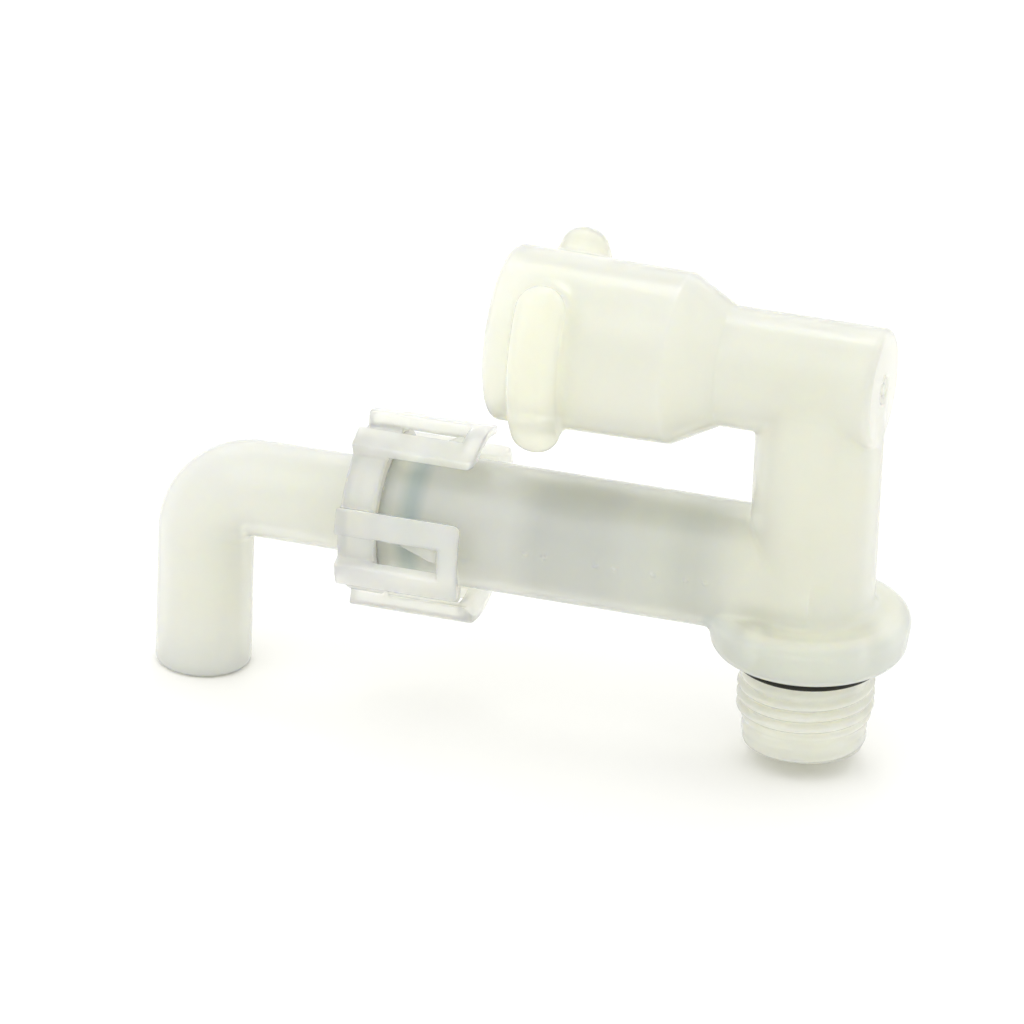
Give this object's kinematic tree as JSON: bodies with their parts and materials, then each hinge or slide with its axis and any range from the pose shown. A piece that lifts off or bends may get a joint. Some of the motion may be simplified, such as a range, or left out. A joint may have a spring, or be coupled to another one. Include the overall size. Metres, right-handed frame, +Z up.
{
  "type": "check-valve tank inlet fitting",
  "caption": "Moulded tank inlet fitting: flanged threaded spigot, riser, lugged socket, check-valve branch and a snap-caged swivel hose elbow.",
  "frame": {"origin": "centre of the flange's flat underside, on the threaded spigot's axis, where the fitting seats on the tank wall", "axes": "+Z up along the riser, away from the tank; the branch, the upper tube and its socket run towards -X; the closed end of the upper tube faces +X"},
  "size_m": [0.1177, 0.0368, 0.0761],
  "materials": {
    "natural_plastic": "natural cream-white translucent polypropylene, satin moulded surface",
    "clear_plastic": "clearer milky translucent plastic, satin moulded surface",
    "black_rubber": "black moulded rubber, slightly shiny",
    "grey_rubber": "light grey silicone rubber, satin",
    "grey_plastic": "grey acetal, satin",
    "white_plastic": "natural acetal, satin",
    "seal_rubber": "dark red-brown seal rubber, matt",
    "spring_steel": "drawn stainless spring wire"
  },
  "bodies": {
    "fitting": {"valve_body": "natural_plastic", "base_o_ring": "black_rubber", "snap_cage": "clear_plastic", "spacer_sleeve": "clear_plastic", "inlet_check_seat": "grey_plastic", "inlet_check_housing": "grey_plastic", "inlet_check_o_ring": "grey_rubber", "inlet_check_spring": "spring_steel", "outlet_check_seat": "white_plastic", "outlet_check_housing": "white_plastic", "outlet_check_o_ring": "grey_rubber", "outlet_check_spring": "spring_steel"},
    "elbow": {"hose_elbow": "natural_plastic", "elbow_o_ring": "black_rubber"},
    "inlet_poppet": {"inlet_check_poppet": "grey_plastic", "inlet_check_seal": "seal_rubber"},
    "outlet_poppet": {"outlet_check_poppet": "white_plastic", "outlet_check_seal": "seal_rubber"}
  },
  "joints": [
    {"name": "elbow_swivel", "type": "hinge", "parent": "fitting", "child": "elbow", "pos_m": [-0.06, 0, 0.0121], "axis": [1, 0, 0], "continuous": true},
    {"name": "inlet_poppet_lift", "type": "slide", "parent": "fitting", "child": "inlet_poppet", "axis": [1, 0, 0], "range_m": [0, 0.0024], "stiffness_N_per_m": 40, "springref_m": -0.0022, "deforming": ["inlet_check_spring"]},
    {"name": "outlet_poppet_lift", "type": "slide", "parent": "fitting", "child": "outlet_poppet", "axis": [1, 0, 0], "range_m": [0, 0.0024], "stiffness_N_per_m": 40, "springref_m": -0.0022, "deforming": ["outlet_check_spring"]}
  ]
}
